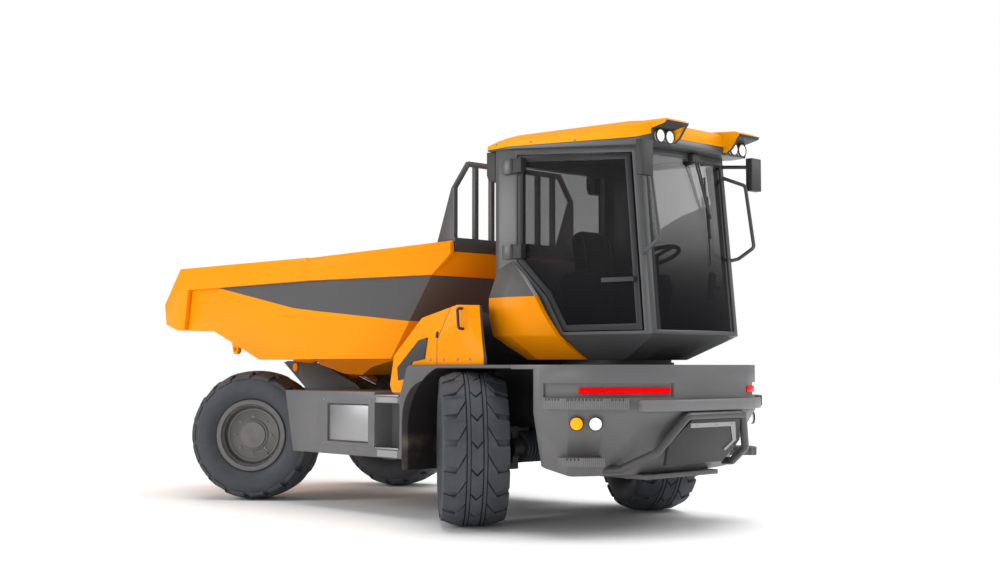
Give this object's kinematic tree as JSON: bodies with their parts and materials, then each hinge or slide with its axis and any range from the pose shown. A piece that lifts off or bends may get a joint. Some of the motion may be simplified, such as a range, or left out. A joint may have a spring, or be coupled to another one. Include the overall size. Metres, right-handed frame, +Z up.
{
  "type": "rotating dumper",
  "caption": "Site dumper with a front tipping skip, steered wheels at both ends and a glazed driver's cab that turns right round on its deck.",
  "frame": {"origin": "ground point below the middle of the machine's bounding box", "axes": "+X from the skip to the bumper with the red lamps, -Y to the side with the door, +Z up"},
  "size_m": [6.055, 2.8306, 2.9948],
  "materials": {
    "orange_paint": "gloss",
    "grey_paint": "satin",
    "charcoal_paint": "satin",
    "black_plastic": "matte",
    "tyre_rubber": "matte",
    "tinted_glass": "tinted",
    "bright_steel": "brushed",
    "cast_parts": "cast",
    "rod_chrome": "polished",
    "red_lens": "clear",
    "clear_lens": "clear",
    "seat_cloth": "woven"
  },
  "bodies": {
    "chassis": {"main_frame": "charcoal_paint", "front_axle": "cast_parts", "rear_axle": "cast_parts", "engine_block": "cast_parts", "engine_hood": "orange_paint", "hood_trim": "black_plastic", "rear_fenders": "grey_paint", "side_boxes": "grey_paint", "side_plates": "bright_steel", "rear_bumper": "grey_paint", "bumper_beam": "grey_paint", "bumper_steps": "charcoal_paint", "tail_lamps": "red_lens", "bumper_lamps": "clear_lens", "guard_loop": "charcoal_paint", "guard_plate": "black_plastic", "tow_plate": "charcoal_paint", "slew_ring_base": "charcoal_paint", "skip_support": "charcoal_paint"},
    "skip": {"skip_tub": "orange_paint", "skip_rim": "orange_paint", "skip_guard": "charcoal_paint", "skip_underframe": "orange_paint"},
    "tip_cylinder_barrels": {"tip_barrels": "charcoal_paint"},
    "tip_cylinder_rods": {"tip_rods": "rod_chrome"},
    "cab": {"slew_ring_cab": "charcoal_paint", "cab_tub": "charcoal_paint", "cab_corner_panels": "orange_paint", "cab_corner_caps": "charcoal_paint", "cab_frame": "charcoal_paint", "cab_roof": "orange_paint", "roof_liner": "black_plastic", "rear_lamp_boxes": "black_plastic", "work_lamps": "clear_lens", "windscreen": "tinted_glass", "cab_windows": "tinted_glass", "seat": "seat_cloth", "seat_base": "black_plastic", "steering_wheel": "black_plastic", "consoles": "black_plastic", "mirrors": "black_plastic", "cab_fittings": "charcoal_paint"},
    "door": {"door_frame": "charcoal_paint", "door_glass": "tinted_glass", "door_hardware": "black_plastic"},
    "steer_rod_front": {"front_steer_rod": "rod_chrome"},
    "steer_rod_rear": {"rear_steer_rod": "rod_chrome"},
    "knuckle_front_near": {"knuckle_front_near": "cast_parts"},
    "wheel_front_near": {"rim_front_near": "grey_paint", "tyre_front_near": "tyre_rubber"},
    "knuckle_front_far": {"knuckle_front_far": "cast_parts"},
    "wheel_front_far": {"rim_front_far": "grey_paint", "tyre_front_far": "tyre_rubber"},
    "knuckle_rear_near": {"knuckle_rear_near": "cast_parts"},
    "wheel_rear_near": {"rim_rear_near": "grey_paint", "tyre_rear_near": "tyre_rubber"},
    "knuckle_rear_far": {"knuckle_rear_far": "cast_parts"},
    "wheel_rear_far": {"rim_rear_far": "grey_paint", "tyre_rear_far": "tyre_rubber"}
  },
  "joints": [
    {"name": "steer_front_near", "type": "hinge", "parent": "chassis", "child": "knuckle_front_near", "pos_m": [-1.675, -0.77, 0.585], "axis": [0, 0, 1], "range_deg": [-76, 0]},
    {"name": "spin_front_near", "type": "hinge", "parent": "knuckle_front_near", "child": "wheel_front_near", "pos_m": [-1.56418, -0.91184, 0.585], "axis": [-0.6157, 0.788, 0], "continuous": true},
    {"name": "steer_front_far", "type": "hinge", "parent": "chassis", "child": "knuckle_front_far", "pos_m": [-1.675, 0.77, 0.585], "axis": [0, 0, 1], "range_deg": [-54.1, 0]},
    {"name": "spin_front_far", "type": "hinge", "parent": "knuckle_front_far", "child": "wheel_front_far", "pos_m": [-1.75672, 0.93038, 0.585], "axis": [-0.454, 0.891, 0], "continuous": true},
    {"name": "steer_rear_near", "type": "hinge", "parent": "chassis", "child": "knuckle_rear_near", "pos_m": [1.475, -0.77, 0.585], "axis": [0, 0, 1], "range_deg": [0, 76]},
    {"name": "spin_rear_near", "type": "hinge", "parent": "knuckle_rear_near", "child": "wheel_rear_near", "pos_m": [1.36418, -0.91184, 0.585], "axis": [0.6157, 0.788, 0], "continuous": true},
    {"name": "steer_rear_far", "type": "hinge", "parent": "chassis", "child": "knuckle_rear_far", "pos_m": [1.475, 0.77, 0.585], "axis": [0, 0, 1], "range_deg": [0, 54.1]},
    {"name": "spin_rear_far", "type": "hinge", "parent": "knuckle_rear_far", "child": "wheel_rear_far", "pos_m": [1.55672, 0.93038, 0.585], "axis": [0.454, 0.891, 0], "continuous": true},
    {"name": "steer_rod_front_slide", "type": "slide", "parent": "chassis", "child": "steer_rod_front", "axis": [0, 1, 0], "range_m": [-0.1825, 0]},
    {"name": "steer_rod_rear_slide", "type": "slide", "parent": "chassis", "child": "steer_rod_rear", "axis": [0, 1, 0], "range_m": [-0.1825, 0]},
    {"name": "skip_tip", "type": "hinge", "parent": "chassis", "child": "skip", "pos_m": [-1.85, 0, 1.2], "axis": [0, -1, 0], "range_deg": [0, 55]},
    {"name": "tip_barrel_swing", "type": "hinge", "parent": "chassis", "child": "tip_cylinder_barrels", "pos_m": [-0.35, 0, 0.8], "axis": [0, 1, 0], "range_deg": [0, 13.3]},
    {"name": "tip_rod_slide", "type": "slide", "parent": "tip_cylinder_barrels", "child": "tip_cylinder_rods", "axis": [-0.9487, 0, 0.3162], "range_m": [0, 0.305]},
    {"name": "cab_swing", "type": "hinge", "parent": "chassis", "child": "cab", "pos_m": [2.05, 0, 1.24], "axis": [0, 0, 1], "continuous": true},
    {"name": "door_swing", "type": "hinge", "parent": "cab", "child": "door", "pos_m": [1.621, -0.727, 2], "axis": [0, 0, -1], "range_deg": [0, 80]}
  ],
  "couplings": [
    {"joint": "steer_front_far", "follows": "steer_front_near", "ratio": 0.7105},
    {"joint": "steer_rear_far", "follows": "steer_rear_near", "ratio": 0.7105},
    {"joint": "steer_rod_front_slide", "follows": "steer_front_near", "m_per_rad": 0.137},
    {"joint": "steer_rod_rear_slide", "follows": "steer_rear_near", "m_per_rad": -0.137},
    {"joint": "tip_barrel_swing", "follows": "skip_tip", "ratio": 0.2401},
    {"joint": "tip_rod_slide", "follows": "skip_tip", "m_per_rad": 0.3164}
  ]
}
